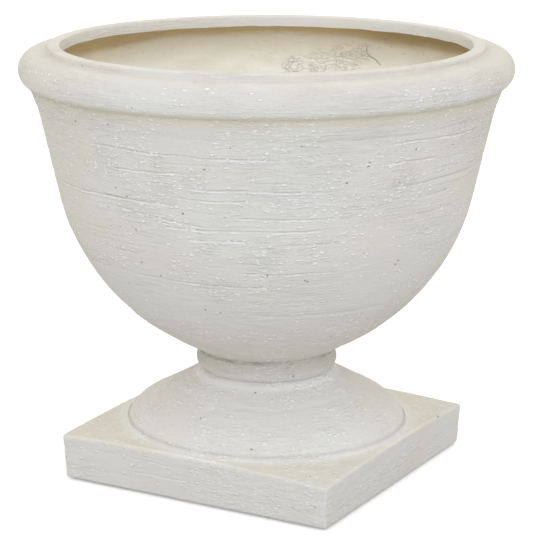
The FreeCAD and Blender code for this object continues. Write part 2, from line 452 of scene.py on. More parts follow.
def makeToolMarks():   # lines, torn layers and ripples left level round the cast by the float
    tree, given, result = newGroup(
        "toolMarks", {"Place": None, "Lines": 1.0, "Layers": 1.0, "Ripples": 1.0, "Cover": 0.5,
                      "Rough": 0.0}, ["Height"])
    place = given["Place"]
    wide = levelLines(place, 0.019, 0.002, given["Cover"], 0.012)
    fine = levelLines(place, 0.0063, 0.0014, plus(given["Cover"], 0.03), 0.009)
    lines = timesPlus(fine, 0.55, wide)
    torn = noiseAt(place, (58, 58, 200), 4, 0.6)
    layers = plus(ramp(torn, 0.46, 0.53), ramp(torn, 0.57, 0.64))
    ripple = swingAt(place, (34, 34, 500), 4, 0.65)
    patch = larger(given["Rough"], ramp(noiseAt(place, (9, 9, 14), 1), 0.38, 0.64, 0.15, 0.9))
    skin = timesPlus(layers, given["Layers"], times(ripple, given["Ripples"]))
    cut = times(lines, given["Lines"])
    feed(result["Height"], minus(times(skin, patch), cut))
    return tree


def makeCementSpots():   # raised flecks, in clusters and on rough spots, and small holes
    tree, given, result = newGroup(
        "cementSpots", {"Place": None, "Flecks": 1.0, "Holes": 1.0, "Share": 0.6, "Rough": 0.0},
        ["Height", "Hole", "Fleck"])
    place = given["Place"]
    patch = larger(given["Rough"], ramp(noiseAt(place, (16, 16, 24)), 0.42, 0.62, 0.12, 1.0))
    large = grains(place, (150, 150, 330), 0.5, given["Share"], patch)
    small = grains(place, (270, 270, 520), 0.52, given["Share"], patch)
    flecks = timesPlus(small, 0.5, large)
    holes = grains(place, (70, 70, 85), 0.085, 0.3)
    feed(result["Height"], minus(times(flecks, given["Flecks"]), times(holes, given["Holes"])))
    feed(result["Hole"], holes)
    feed(result["Fleck"], flecks)
    return tree


def makeUnevenTone():   # slow change over the surface with a fine speckle on it, about 1
    tree, given, result = newGroup(
        "unevenTone", {"Place": None, "Slow": 0.04, "Speckle": 0.03}, ["Tone", "Slow"])
    place = given["Place"]
    slow = ramp(noiseAt(place, (7, 7, 10), 3, 0.6), 0.33, 0.67)
    fine = swingAt(place, (620, 620, 900), 2, 0.7)
    lift = timesPlus(fine, times(given["Speckle"], 4.0), 1.0)
    swing = times(minus(slow, 0.5), given["Slow"])
    feed(result["Tone"], plus(lift, swing))
    feed(result["Slow"], slow)
    return tree


toolMarks = makeToolMarks()
cementSpots = makeCementSpots()
unevenTone = makeUnevenTone()


# The finishes.

def newMaterial(name):
    material = bpy.data.materials.new(name)
    material.use_nodes = True
    nodes = material.node_tree.nodes
    return material, nodes["Principled BSDF"], nodes.new("ShaderNodeTexCoord").outputs["Object"]


def fillGroup(group, place, values):
    return addNode("ShaderNodeGroup", {"Place": place, **values}, node_tree=group).outputs


def coatSurface(surface, height, inputs):   # height in millimetres
    bump = addNode("ShaderNodeBump", {"Height": height, "Distance": 0.001, "Strength": 1.0})
    for label, value in {"Normal": bump.outputs[0], **inputs}.items():
        feed(surface.inputs[label], value)


paintLook = {
    "warm": (0.705, 0.682, 0.62, 1), "cool": (0.7, 0.695, 0.658, 1),
    "cream": (0.735, 0.7, 0.59, 1), "tintedCreaseShade": (0.675, 0.645, 0.54, 1),
    "pale": (0.84, 0.84, 0.83, 1), "shade": (0.5, 0.48, 0.41, 1),
    "shadeAndDirt": (0.24, 0.19, 0.14, 1), "highlightWhite": (0.92, 0.93, 0.93, 1),
    "lines": 0.35, "layers": 0.2, "ripples": 1.6, "flecks": 0.72, "holes": 0.9, "scored": 0.4,
    "grain": 0.35, "reliefShading": 0.15, "glintAndWear": 0.62, "pitDepth": 0.8, "pitDark": 0.8,
    "roughness": 0.82, "specular": 0.15,
    "smoothLip": (0.43, 0.446), "aboveEdge": (0.0455, 0.049),   # heights where it starts and is full
}


def makePaint(name, look, marks):
    material, surface, place = newMaterial(name)
    level = heightOf(place)
    rough = spotsAt(place, marks["roughSpots"])
    tools = fillGroup(toolMarks, place, {
        "Lines": look["lines"], "Layers": look["layers"], "Ripples": look["ripples"],
        "Cover": marks["cover"], "Rough": rough})
    spots = fillGroup(cementSpots, place, {
        "Flecks": look["flecks"], "Holes": look["holes"], "Rough": rough,
        "Share": ramp(level, *look["smoothLip"], marks["share"], 0.0)})
    uneven = fillGroup(unevenTone, place, {"Slow": 0.02, "Speckle": 0.02})
    pit = larger(spotsAt(place, marks["pits"]), spots["Hole"])
    cut, burr = scoredLines(place, marks["lines"])
    height = plus(tools["Height"], spots["Height"])
    height = timesPlus(burr, look["scored"], height)
    height = timesPlus(cut, -look["scored"], height)
    colour = blendColour(uneven["Slow"], look["warm"], look["cool"])
    # bands and rings: painted shade and painted highlights at set heights and radii, and a cream tint
    for middle, reach, amount, tint in marks["bands"]:
        band = ramp(farFrom(level, middle), reach, 0.0)
        colour = blendColour(times(band, amount), colour, look[tint])
    onTop = ramp(level, *look["aboveEdge"])
    for radius, reach, amount, tint in marks["rings"]:
        away = farFrom(axisDistance(place), radius)
        ring = times(ramp(away, reach, 0.0, 0.0, amount), onTop)
        colour = blendColour(ring, colour, look[tint])
    # painted light and shade from the relief: raised parts lighter, hollows darker
    colour = toned(colour, timesPlus(height, look["reliefShading"], uneven["Tone"]))
    # painted highlight on the raised flecks and burrs, with some paler worn tops
    raised = ramp(larger(spots["Fleck"], burr), 0.15, 0.8)
    colour = blendColour(times(raised, look["glintAndWear"]), colour, look["highlightWhite"])
    # pits and holes filled dark: painted shade in them, with some dirt
    colour = blendColour(times(pit, look["pitDark"]), colour, look["shadeAndDirt"])
    grain = times(noiseAt(place, (300, 300, 460), 3, 0.7), look["grain"])
    sunk = timesPlus(pit, -look["pitDepth"], grain)
    coatSurface(surface, plus(height, sunk), {
        "Base Color": colour, "Roughness": look["roughness"], "Specular IOR Level": look["specular"]})
    return material


coreLook = {
    "pale": (0.9, 0.87, 0.78, 1), "deep": (0.73, 0.67, 0.54, 1), "brown": (0.57, 0.45, 0.27, 1),
    "umber": (0.36, 0.27, 0.14, 1), "shadeAndDirt": (0.22, 0.17, 0.11, 1), "roughness": 0.85,
    "specular": 0.25, "tornDepth": 1.3, "rightward": (0.869, 0.494, 0.0), "hang": 0.007,
    "torn": [(97, 0.2262, 0.403, 0.028), (92, 0.2285, 0.411, 0.018), (104, 0.2258, 0.397, 0.024),
             (112, 0.225, 0.394, 0.018)],
    "crackRadius": 0.229, "crackWidth": 0.0007, "crackDark": 0.55, "crackDepth": 0.6,
    "crack": [(90.8, 0.4185), (90.2, 0.4112), (86.9, 0.405), (85.6, 0.401)],
}


def makeBareCast(look):   # unpainted inside; browner under the lip, a stain with painted shade of the overhang, and paler down the wall
    material, surface, place = newMaterial("bareCast")
    spots = fillGroup(cementSpots, place, {"Flecks": 0.5, "Holes": 0.6, "Share": 0.5})
    uneven = fillGroup(unevenTone, place, {"Slow": 0.05, "Speckle": 0.03})
    clouds = noiseAt(place, (16, 16, 75), 4, 0.6)
    colour = blendColour(ramp(clouds, 0.36, 0.7, 0.0, 0.35), look["pale"], look["deep"])
    # darker and browner towards the lip: partly a brown stain, partly painted shade under the lip's
    # overhang
    ragged = timesPlus(minus(clouds, 0.5), 0.014, heightOf(place))
    colour = blendColour(ramp(ragged, 0.39, 0.422), colour, look["deep"])
    across = vectorCalc('DOT_PRODUCT', place, look["rightward"])
    atRight = ramp(across, 0.07, 0.17)
    atSides = larger(atRight, ramp(across, -0.09, -0.18))
    lowered = timesPlus(atSides, look["hang"], ragged)   # the brown hangs lower at the sides, as painted shade
    colour = blendColour(ramp(lowered, 0.4245, 0.4345), colour, look["brown"])
    # painted shade: darkest brown under the lip on the right
    rightShade = times(atRight, ramp(lowered, 0.429, 0.44, 0.0, 0.65))
    colour = blendColour(rightShade, colour, look["umber"])
    torn = spotsAt(place, look["torn"])
    crack = crackAlong(place, look["crackRadius"], look["crack"], look["crackWidth"])
    # holes and the crack filled dark: painted shade in them, with some dirt
    dark = larger(times(spots["Hole"], 0.7), times(crack, look["crackDark"]))
    colour = blendColour(dark, toned(colour, uneven["Tone"]), look["shadeAndDirt"])
    brushed = times(noiseAt(place, (40, 40, 300), 4, 0.6), 0.7)
    grain = times(noiseAt(place, (420, 420, 420), 3, 0.65), 0.25)
    flakes = noiseAt(place, (75, 75, 165), 3, 0.55)
    flakes = plus(ramp(flakes, 0.42, 0.5), ramp(flakes, 0.54, 0.62))
    height = plus(spots["Height"], plus(grain, brushed))
    height = timesPlus(times(flakes, torn), look["tornDepth"], height)
    coatSurface(surface, timesPlus(crack, -look["crackDepth"], height), {
        "Base Color": colour, "Roughness": look["roughness"], "Specular IOR Level": look["specular"]})
    return material


# brownish mortar, made darker still as painted shade of the crease between bowl and ring
mortarLook = {"pale": (0.58, 0.54, 0.47, 1), "deep": (0.4, 0.36, 0.29, 1), "roughness": 0.85}


def makeMortarFinish(look):
    material, surface, place = newMaterial("mortarBed")
    spots = fillGroup(cementSpots, place, {"Flecks": 0.5, "Holes": 0.8, "Share": 0.8})
    uneven = fillGroup(unevenTone, place, {"Slow": 0.1, "Speckle": 0.06})
    patches = ramp(noiseAt(place, (60, 60, 90), 3, 0.6), 0.35, 0.65)
    colour = blendColour(patches, look["pale"], look["deep"])
    grain = times(noiseAt(place, (300, 300, 300), 4, 0.7), 0.5)
    coatSurface(surface, plus(spots["Height"], grain), {
        "Base Color": toned(colour, uneven["Tone"]), "Roughness": look["roughness"]})
    return material


zincLook = {"bright": (0.62, 0.63, 0.64, 1), "dull": (0.44, 0.45, 0.46, 1),
            "rust": (0.3, 0.17, 0.09, 1), "rusted": 0.55}


def makeZinc(look):   # plated steel with spangle, fine brushing and a little rust in the hollows
    material, surface, place = newMaterial("zincSteel")
    spangle = addNode("ShaderNodeTexVoronoi", {
        "Vector": stretched(place, (420, 420, 420)), "Scale": 1.0}).outputs["Distance"]
    cloud = noiseAt(place, (160, 160, 160), 4, 0.6)
    tone = plus(times(spangle, 0.5), times(cloud, 0.6))
    colour = blendColour(ramp(tone, 0.3, 0.8), look["bright"], look["dull"])
    rust = ramp(noiseAt(place, (210, 210, 210), 4, 0.7), 0.6, 0.72, 0.0, look["rusted"])
    fine = times(noiseAt(place, (900, 900, 2600)), 0.03)
    coatSurface(surface, fine, {
        "Base Color": blendColour(rust, colour, look["rust"]),
        "Metallic": minus(1.0, rust), "Roughness": ramp(cloud, 0.3, 0.7, 0.32, 0.55)})
    return material


rubberLook = {"black": (0.022, 0.022, 0.023, 1), "dusty": (0.085, 0.08, 0.072, 1), "dust": 0.6}


def makeRubber(look):   # moulded rubber, dusty where it has been handled
    material, surface, place = newMaterial("blackRubber")
    dust = ramp(noiseAt(place, (170, 170, 170), 4, 0.65), 0.45, 0.75)
    uneven = fillGroup(unevenTone, place, {"Slow": 0.1, "Speckle": 0.08})
    colour = blendColour(times(dust, look["dust"]), look["black"], look["dusty"])
    moulded = times(noiseAt(place, (1300, 1300, 1300), 2, 0.6), 0.05)
    coatSurface(surface, moulded, {
        "Base Color": toned(colour, uneven["Tone"]),
        "Roughness": ramp(dust, 0.0, 1.0, 0.55, 0.82)})
    return material


# Marks. Spots and pits are angle, radius and height of the middle, and reach. Lines are height,
# angle of the middle, reach to each side in degrees and climb per degree. Bands and rings are
# height or radius of the middle, reach, strength and tint; most of them lay painted shade or a
# painted highlight.

bowlMarks = {
    "cover": 0.4, "share": 0.6, "rings": [],
    # a cream tint with painted shade in the cove crease, painted shade at the foot by the neck and on
    # the roll's top, a painted highlight on the roll's underside
    "bands": [(0.412, 0.014, 1.0, "tintedCreaseShade"), (0.129, 0.012, 0.45, "shade"),
              (0.44, 0.0125, 0.22, "shade"), (0.42, 0.007, 0.45, "pale")],
    "lines": [
        (0.375, -80, 29, -0.00007), (0.325, -107, 26, 0.00004), (0.3567, -90, 12, 0.00013),
        (0.3425, -62, 20, -0.00009), (0.3325, -73, 11, -0.0001), (0.3145, -55, 14, -0.00009),
        (0.3105, -88, 13, -0.0004), (0.3025, -66, 25, -0.00002), (0.2435, -81, 24, -0.0001),
        (0.383, -14, 18, -0.00005), (0.3636, -23, 9, -0.00008), (0.2924, -73, 9, 0.0),
        (0.2572, -54, 15, -0.00003)],
    "roughSpots": [
        (-102, 0.229, 0.365, 0.03), (-86, 0.2285, 0.362, 0.02), (-78, 0.2257, 0.35, 0.022),
        (-87, 0.2226, 0.336, 0.03), (-50, 0.233, 0.386, 0.026), (-43, 0.229, 0.364, 0.03),
        (-44, 0.2245, 0.345, 0.022), (-25, 0.2245, 0.345, 0.026), (-61, 0.208, 0.277, 0.034),
        (-76, 0.2104, 0.284, 0.022), (-39, 0.2204, 0.3254, 0.024), (-75, 0.189, 0.234, 0.02),
        (-18, 0.2526, 0.432, 0.036), (2, 0.2525, 0.424, 0.036), (-118, 0.245, 0.407, 0.026)],
    "pits": [
        (-81.5, 0.2185, 0.3173, 0.0014), (-96.4, 0.2133, 0.2947, 0.0012),
        (-75.0, 0.2284, 0.3631, 0.0013), (-97.3, 0.2013, 0.2592, 0.0012),
        (-91.8, 0.1958, 0.2476, 0.0012), (-111.0, 0.2369, 0.3964, 0.0014),
        (-99.3, 0.2379, 0.3994, 0.0012), (-60.1, 0.2001, 0.2559, 0.0014),
        (-48.8, 0.1962, 0.2479, 0.0012), (-112.5, 0.2233, 0.4477, 0.0012)],
}

# the bell's paint is the bowl's made a little darker: painted shade under the bowl
bellLook = dict(paintLook, warm=(0.69, 0.664, 0.61, 1), cool=(0.686, 0.68, 0.655, 1),
                flecks=0.68, glintAndWear=0.2)
bellMarks = {
    "cover": 0.36, "share": 0.8, "lines": [],
    # painted shade on the neck ring under the bowl, a painted highlight just below the ring, a painted
    # highlight on the foot's collar and a painted shadow just inside it
    "bands": [(0.122, 0.014, 0.7, "shade"), (0.1035, 0.0045, 0.6, "pale")],
    "rings": [(0.1512, 0.0024, 0.45, "pale"), (0.147, 0.0018, 0.45, "shade")],
    "roughSpots": [
        (-99, 0.102, 0.097, 0.02), (-72, 0.135, 0.078, 0.022), (-126, 0.133, 0.08, 0.026),
        (-140, 0.08, 0.102, 0.016), (15, 0.08, 0.102, 0.02), (-30, 0.13, 0.082, 0.03),
        (0, 0.141, 0.068, 0.024), (-80, 0.072, 0.126, 0.012), (-40, 0.073, 0.124, 0.014)],
    "pits": [(-105, 0.0831, 0.1027, 0.0012), (-118, 0.138, 0.0745, 0.0012)],
}

# the plinth's paint is darker still: painted shade under the bowl
plinthLook = dict(paintLook, warm=(0.672, 0.646, 0.59, 1), cool=(0.666, 0.656, 0.624, 1),
                  flecks=0.55, glintAndWear=0.18, ripples=0.6, lines=0.2, scored=0.2)
plinthMarks = {
    "cover": 0.34, "share": 0.65,
    # the pale ring is a painted highlight round the dome's foot
    "bands": [(0.052, 0.01, 0.7, "cream")], "rings": [(0.15, 0.018, 0.5, "pale")],
    "lines": [(0.0235, -101, 16, 0.00002), (0.0373, -106, 10, -0.0001)],
    "roughSpots": [
        (-71, 0.165, 0.02, 0.022), (-59, 0.182, 0.022, 0.02), (-50, 0.178, 0.05, 0.032),
        (59, 0.177, 0.048, 0.026), (48, 0.178, 0.048, 0.028), (37, 0.17, 0.048, 0.024),
        (30, 0.18, 0.014, 0.022), (-130, 0.207, 0.014, 0.016)],
    "pits": [
        (-134.3, 0.2186, 0.0244, 0.0018), (-96.5, 0.1575, 0.0163, 0.0012),
        (-75.6, 0.1616, 0.0075, 0.0016), (-61.7, 0.1777, 0.0092, 0.0015),
        (32.3, 0.1855, 0.0478, 0.0034), (41.2, 0.208, 0.0088, 0.0015)],
}

bowlPaint = makePaint("bowlPaint", paintLook, bowlMarks)
bellPaint = makePaint("bellPaint", bellLook, bellMarks)
plinthPaint = makePaint("plinthPaint", plinthLook, plinthMarks)
bareCast = makeBareCast(coreLook)
mortarBed = makeMortarFinish(mortarLook)
zincSteel = makeZinc(zincLook)
blackRubber = makeRubber(rubberLook)
print("finishes ready")


# The bowl, painted outside.

bowlShape = {
    "lipInner": 0.2112, "lipOuter": 0.224, "lipRise": 0.0064, "lipRounding": 0.0018,
    "lipFillet": 0.0008, "bandHeight": 0.0118, "bandWall": 0.004, "rimRadius": 0.254,
    "rollRadius": 0.018, "rollEnd": -66, "coveRadius": 0.235, "coveDrop": 0.0636,
    "coveRounding": 0.084, "bellyRadius": 0.193, "bellyHeight": 0.0706, "bellyRounding": 0.23,
    "baseRadius": 0.0705, "baseBore": 0.0587, "bedding": 0.0017, "coatDepth": 0.006,
    "rollBack": [(0.2385, 0.417, 0), (0.2415, 0.429, 0), (0.24, 0.4385, 0)],
    "columns": 360, "ringSpacing": 0.0019, "backSpacing": 0.02, "wobble": 0.0007, "lumps": 0.0004,
    "ragged": 0.0016, "reliefRoom": 0.0001, "calmRim": (0.405, 0.42),
}


def makeBowlFace(shape):
    base = seat["pedestal"][1].z + shape["bedding"]
    top = seat["bowl"][1].z - shape["reliefRoom"]
    rollTop = top - shape["lipRise"]
    bandBottom = top - shape["bandHeight"]
    bandBack = shape["lipInner"] + shape["bandWall"]
    rollCentre = Vector((shape["rimRadius"] - shape["rollRadius"], rollTop - shape["rollRadius"]))
    spacing = shape["ringSpacing"]
    pen = startOutline(shape["lipInner"], bandBottom)
    drawRounded(pen, [
        (shape["lipInner"], top, shape["lipRounding"]), (shape["lipOuter"], top, shape["lipRounding"]),
        (shape["lipOuter"], rollTop, shape["lipFillet"]), (rollCentre.x, rollTop, 0)], spacing * 0.4)
    drawArc(pen, rollCentre, math.radians(shape["rollEnd"] - 90), spacing * 0.8)
    divideOutline(pen, spacing * 0.8)
    cove = (shape["coveRadius"], top - shape["coveDrop"])
    belly = (shape["bellyRadius"], base + shape["bellyHeight"])
    drawRounded(pen, [(*cove, shape["coveRounding"]), (*belly, shape["bellyRounding"]),
                      (shape["baseRadius"], base, 0)], spacing)
    divideOutline(pen, spacing)
    depth = shape["coatDepth"]
    drawRounded(pen, [   # the hidden back of the coat
        (shape["baseBore"], base, 0),
        (belly[0] - depth, belly[1] + depth / 2, shape["bellyRounding"] - depth),
        (cove[0] - depth, cove[1], 0), *shape["rollBack"], (bandBack, bandBottom + 0.002, 0),
        (bandBack, bandBottom, 0), (shape["lipInner"], bandBottom, 0)], shape["backSpacing"])
    piece = turnOutline(pen, shape["columns"])

    def relief(place, normal):
        level = heightOf(place)
        height = castRelief(place, shape["wobble"], shape["lumps"], shape["wobble"] * 0.5)
        calm = ramp(level, *shape["calmRim"], 1.0, 0.4)   # the rim is truer
        offset = scaled(normal, times(height, calm))
        atBand = times(ramp(level, bandBottom + 0.005, bandBottom),
                       ramp(axisDistance(place), bandBack + 0.002, bandBack))
        edge = swingAt(place, (34, 34, 5), 4, 0.6)
        return raisedBy(offset, times(edge, 2 * shape["ragged"], atBand))

    moveMesh(piece, relief)
    return piece


finishPiece(makeBowlFace(bowlShape), "bowl_face", bowlPaint, "urn", "bowl")


# The bowl's bare cast inside, with the spigot and the drain.

coreShape = {
    "drainRadius": 0.013, "drainRounding": 0.0015, "spigotRadius": 0.0275, "spigotBottom": 0.104,
    "base": 0.131, "floor": 0.147, "floorCorner": (0.0741, 0.147, 0.014),
    "belly": (0.1828, 0.2077, 0.218), "cove": (0.2234, 0.3927, 0.096),
    "roll": (0.2384, 0.4343, 0.006), "bandFoot": (0.215, 0.4424, 0),
    "covered": [(0.216, 0.4448, 0), (0.24, 0.442, 0), (0.245, 0.432, 0),
                (0.2385, 0.4144, 0), (0.23, 0.3909, 0), (0.1889, 0.203, 0.224),
                (0.0592, 0.131, 0)],   # the side that the painted coat covers
    "columns": 300, "ringSpacing": 0.003, "backSpacing": 0.02, "wobble": 0.0012, "lumps": 0.0007,
    "calmFloor": (0.055, 0.08), "calmBand": (0.4424, 0.436),
}


def makeBowlCore(shape):
    pen = startOutline(shape["drainRadius"], shape["spigotBottom"])
    drawRounded(pen, [
        (shape["drainRadius"], shape["floor"], shape["drainRounding"]), shape["floorCorner"],
        shape["belly"], shape["cove"], shape["roll"], shape["bandFoot"]], shape["ringSpacing"])
    divideOutline(pen, shape["ringSpacing"])
    drawRounded(pen, [
        *shape["covered"], (shape["spigotRadius"], shape["base"], 0),
        (shape["spigotRadius"], shape["spigotBottom"], 0),
        (shape["drainRadius"], shape["spigotBottom"], 0)], shape["backSpacing"])
    piece = turnOutline(pen, shape["columns"])

    def relief(place, normal):
        clear = times(ramp(axisDistance(place), *shape["calmFloor"]),
                      ramp(heightOf(place), *shape["calmBand"]))
        uneven = times(swingAt(place, (22, 22, 16), 3, 0.55), 2 * shape["wobble"])
        patch = ramp(noiseAt(place, (11, 11, 17)), 0.45, 0.65, 0.05, 1.0)
        raised = grains(place, (90, 90, 120), 0.55, 0.7, patch)
        height = timesPlus(raised, shape["lumps"], uneven)
        return scaled(normal, times(height, clear))

    moveMesh(piece, relief)
    return piece


finishPiece(makeBowlCore(coreShape), "bowl_core", bareCast, "urn", "bowl")


# The pedestal's neck ring and bell.

bellShape = {
    "neckOpening": 0.028, "neckBore": 0.056, "neckPlateBottom": 0.112, "ringTop": (0.0706, 0.128),
    "ringBulge": (0.0744, 0.1195), "crease": (0.0663, 0.1075), "shoulder": (0.1411, 0.0666, 0.05),
    "foot": (0.1484, 0.0528, 0.005), "bead": (0.1528, 0.0511, 0.0008), "beadFoot": 0.1532,
    "bottom": 0.048, "lean": 0.014, "leanFrom": (0.082, 0.057), "innerCrease": 0.0972,
    "innerShoulder": (0.1305, 0.0564, 0.036), "innerFoot": 0.1342, "columns": 360,
    "ringSpacing": 0.0014, "backSpacing": 0.008, "wobble": 0.0007, "lumps": 0.0005, "sink": 0.0002,
    "neckRough": 0.0022, "neckFrom": (0.098, 0.108), "calmTop": (0.058, 0.066),
}


def makeBell(shape):
    spacing = shape["ringSpacing"]
    ringTop = shape["ringTop"][1]
    pen = startOutline(shape["neckOpening"], ringTop)
    drawTo(pen, shape["neckBore"], ringTop)
    drawTo(pen, *shape["ringTop"])
    drawArcThrough(pen, Vector(shape["ringBulge"]), Vector(shape["crease"]), spacing)
    drawRounded(pen, [shape["shoulder"], shape["foot"], shape["bead"],
                      (shape["beadFoot"], shape["bottom"], 0)], spacing * 0.6)
    divideOutline(pen, spacing)
    drawRounded(pen, [
        (shape["innerFoot"], shape["bottom"], 0), shape["innerShoulder"],
        (shape["neckBore"], shape["innerCrease"], 0), (shape["neckBore"], shape["neckPlateBottom"], 0),
        (shape["neckOpening"], shape["neckPlateBottom"], 0),
        (shape["neckOpening"], ringTop, 0)], shape["backSpacing"])
    piece = turnOutline(pen, shape["columns"])

    def relief(place, normal):
        level = heightOf(place)
        clear = ramp(axisDistance(place), *shape["calmTop"])
        height = castRelief(place, shape["wobble"], shape["lumps"], shape["sink"])
        atNeck = ramp(level, *shape["neckFrom"], 0.0002, shape["neckRough"])
        height = timesPlus(swingAt(place, (75, 75, 110), 4, 0.6), atNeck, height)
        offset = scaled(normal, times(height, clear))
        atFoot = ramp(level, *shape["leanFrom"], 0.0, -shape["lean"])   # as the plinth leans
        return raisedBy(offset, times(splitPlace(place)[0], atFoot))

    moveMesh(piece, relief)
    return piece


finishPiece(makeBell(bellShape), "pedestal_bell", bellPaint, "urn", "pedestal")


# The pedestal's square plinth, with a crowned top and a pocket underneath.

plinthShape = {
    "side": 0.3138, "draft": 0.0022, "top": 0.0518, "bottom": 0.002, "droop": 0.0046,
    "level": 0.1488, "lean": 0.014, "crownFrom": (0.012, 0.0478), "cells": 36, "layers": 5,
    "edge": 0.0046, "footEdge": 0.0028, "wall": 0.016, "ceiling": 0.0372, "pocketCorner": 0.07,
    "pocketFillet": 0.005, "opening": 0.1342, "wobble": 0.0006, "lumps": 0.0005, "sink": 0.0003,
}


def cutMesh(place, normal):
    selectMesh()
    bpy.ops.mesh.bisect(plane_co=place, plane_no=normal)


def makePlinthBlock(shape):   # a grid drawn down to a block, with cuts that keep its edges tight
    half = shape["side"] / 2
    deselectAll()
    bpy.ops.mesh.primitive_grid_add(x_subdivisions=shape["cells"], y_subdivisions=shape["cells"],
                                    size=shape["side"], location=(0, 0, shape["top"]))
    applyPlace()
    editMode()
    for across in (-1, 1):
        for normal in ((1, 0, 0), (0, 1, 0)):
            cutMesh([across * (half - shape["edge"]) * value for value in normal], normal)
    selectMesh()
    bpy.ops.mesh.extrude_region_move(
        TRANSFORM_OT_translate={"value": (0, 0, shape["bottom"] - shape["top"])})
    inward = 1 - shape["draft"] / half
    bpy.ops.transform.resize(value=(inward, inward, 1), center_override=(0, 0, shape["bottom"]))
    lowest = shape["bottom"] + shape["footEdge"]
    highest = shape["top"] - shape["edge"]
    for layer in range(shape["layers"] + 1):
        cutMesh((0, 0, lowest + (highest - lowest) * layer / shape["layers"]), (0, 0, 1))
    faceOutwards()
    objectMode()
    piece = bpy.context.object
    applyModifier(piece, 'SUBSURF', levels=2, render_levels=2)
    return piece


def makePocket(shape):   # rounded at its upright corners and along its ceiling
    width = shape["side"] - 2 * shape["wall"]
    depth = shape["ceiling"] + 0.01
    deselectAll()
    bpy.ops.mesh.primitive_cube_add(size=1, location=(0, 0, shape["ceiling"] - depth / 2),
                                    scale=(width, width, depth))
    applyPlace()
    pocket = bpy.context.object
    selectEdges(pocket, lambda start, end: abs(start.z - end.z) > 0.01)
    bpy.ops.mesh.bevel(offset=shape["pocketCorner"], segments=16)
    selectEdges(pocket, lambda start, end: min(start.z, end.z) > shape["ceiling"] - 0.001)
    bpy.ops.mesh.bevel(offset=shape["pocketFillet"], segments=4)
    objectMode()
    return pocket


def makePlinth(shape):
    piece = makePlinthBlock(shape)

    def crownAndRelief(place, normal):
        height = castRelief(place, shape["wobble"], shape["lumps"], shape["sink"])
        offset = scaled(normal, height)
        reach = axisDistance(place)
        fall = shape["droop"] / (shape["side"] ** 2 / 2 - shape["level"] ** 2)
        square = minus(times(reach, reach), shape["level"] ** 2)
        crown = timesPlus(splitPlace(place)[0], -shape["lean"], times(square, -fall))
        onTop = ramp(heightOf(place), *shape["crownFrom"])
        return raisedBy(offset, times(crown, onTop))

    moveMesh(piece, crownAndRelief)
    cutAway(piece, makePocket(shape))
    deselectAll()
    bpy.ops.mesh.primitive_cylinder_add(vertices=180, radius=shape["opening"], depth=0.05,
                                        location=(0, 0, shape["ceiling"] + 0.02))
    cutAway(piece, bpy.context.object)
    shadeSmooth(piece, 45)
    return piece


finishPiece(makePlinth(plinthShape), "pedestal_plinth", plinthPaint, "urn", "pedestal")


# The mortar squeezed out between the castings.

mortarShape = {
    "opening": 0.028, "bottom": 0.1278, "top": 0.1312, "outerTop": 0.1301, "step": 0.0587,
    "lower": (0.0706, 0.127, 0.0016), "upper": (0.0716, 0.1309, 0.0012), "columns": 360,
    "spacing": 0.0018, "arcSpacing": 0.0005, "rough": 0.0022, "roughFrom": (0.064, 0.069),
}


def makeMortar(shape):
    pen = startOutline(shape["opening"], shape["bottom"])
    drawRounded(pen, [
        shape["lower"], shape["upper"],
        (shape["step"], shape["outerTop"], 0), (shape["step"], shape["top"], 0),
        (shape["opening"], shape["top"], 0), (shape["opening"], shape["bottom"], 0)],
        shape["arcSpacing"])
    divideOutline(pen, shape["spacing"])
    piece = turnOutline(pen, shape["columns"], 60)

    def relief(place, normal):
        rough = minus(noiseAt(place, (70, 70, 130), 4, 0.65), 0.45)
        outside = ramp(axisDistance(place), *shape["roughFrom"])
        return scaled(normal, times(rough, 2 * shape["rough"], outside))

    moveMesh(piece, relief)
    return piece


finishPiece(makeMortar(mortarShape), "mortar_bead", mortarBed, "urn", "neck_mortar")


# Tie bolts, nuts, washers and seals.

boltShape = {
    "angles": (90, 210, 330), "circle": 0.042, "twist": 17, "shank": 0.004, "core": 0.0033,
    "pitch": 0.00125, "threadTurns": 14, "threadStart": 0.0006, "headFlats": 0.013,
    "headHeight": 0.0053, "bore": 0.0042, "seal": 0.011, "washer": 0.012,
}
hexShape = {"face": 0.47, "slope": 28, "spare": 0.0002, "bevel": 0.0002}   # face as a share of the flats


def setAtBolts(piece, name, finish, node):   # three copies, one at each bolt
    copies = []
    for turn, angle in enumerate(boltShape["angles"]):
        pickOnly(piece)
        bpy.ops.object.duplicate()
        bpy.ops.transform.rotate(value=math.radians(boltShape["twist"] * turn), orient_axis='Z',
                                 center_override=(0, 0, 0))
        bpy.ops.transform.translate(value=atWall(angle, boltShape["circle"], 0))
        copies.append(bpy.context.object)
    bpy.data.objects.remove(piece)
    finishPiece(joinPieces(copies), name, finish, "urn", node)


def makeWasher(radius, bottom, top, bore, edge):
    middle = (bottom + top) / 2
    pen = startOutline(bore, middle)
    drawRounded(pen, [
        (bore, top, edge), (radius, top, edge), (radius, bottom, edge), (bore, bottom, edge),
        (bore, middle, 0)], 0.0002)
    return turnOutline(pen, 64, 35)


